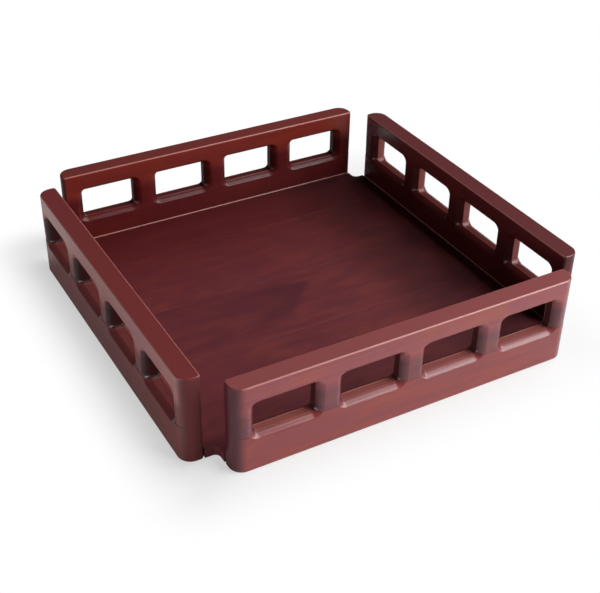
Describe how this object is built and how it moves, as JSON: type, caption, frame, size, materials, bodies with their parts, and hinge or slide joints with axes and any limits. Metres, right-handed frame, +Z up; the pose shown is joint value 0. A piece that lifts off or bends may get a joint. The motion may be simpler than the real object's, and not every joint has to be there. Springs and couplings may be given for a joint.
{
  "type": "serving tray",
  "caption": "Square wooden serving tray with open corners and rows of rounded finger windows through its walls as handles.",
  "frame": {"origin": "centre of the tray's underside, on the surface it stands on", "axes": "+Z up, +X along the front wall towards the right wall, +Y from the front wall to the back wall"},
  "size_m": [0.33, 0.33, 0.071],
  "materials": {
    "top_rail_wood": "satin lacquer over red-brown stain",
    "post_wood": "satin lacquer over dark red-brown stain",
    "bottom_rail_wood": "satin lacquer over red-brown stain",
    "floor_wood": "satin lacquer over dark red-brown stain"
  },
  "bodies": {
    "root": {"floor_board_1": "floor_wood", "floor_board_2": "floor_wood", "floor_board_3": "floor_wood", "floor_board_4": "floor_wood", "front_bottom_rail": "bottom_rail_wood", "front_top_rail": "top_rail_wood", "front_post_1": "post_wood", "front_post_2": "post_wood", "front_post_3": "post_wood", "front_post_4": "post_wood", "front_post_5": "post_wood", "right_bottom_rail": "bottom_rail_wood", "right_top_rail": "top_rail_wood", "right_post_1": "post_wood", "right_post_2": "post_wood", "right_post_3": "post_wood", "right_post_4": "post_wood", "right_post_5": "post_wood", "back_bottom_rail": "bottom_rail_wood", "back_top_rail": "top_rail_wood", "back_post_1": "post_wood", "back_post_2": "post_wood", "back_post_3": "post_wood", "back_post_4": "post_wood", "back_post_5": "post_wood", "left_bottom_rail": "bottom_rail_wood", "left_top_rail": "top_rail_wood", "left_post_1": "post_wood", "left_post_2": "post_wood", "left_post_3": "post_wood", "left_post_4": "post_wood", "left_post_5": "post_wood"}
  },
  "joints": []
}
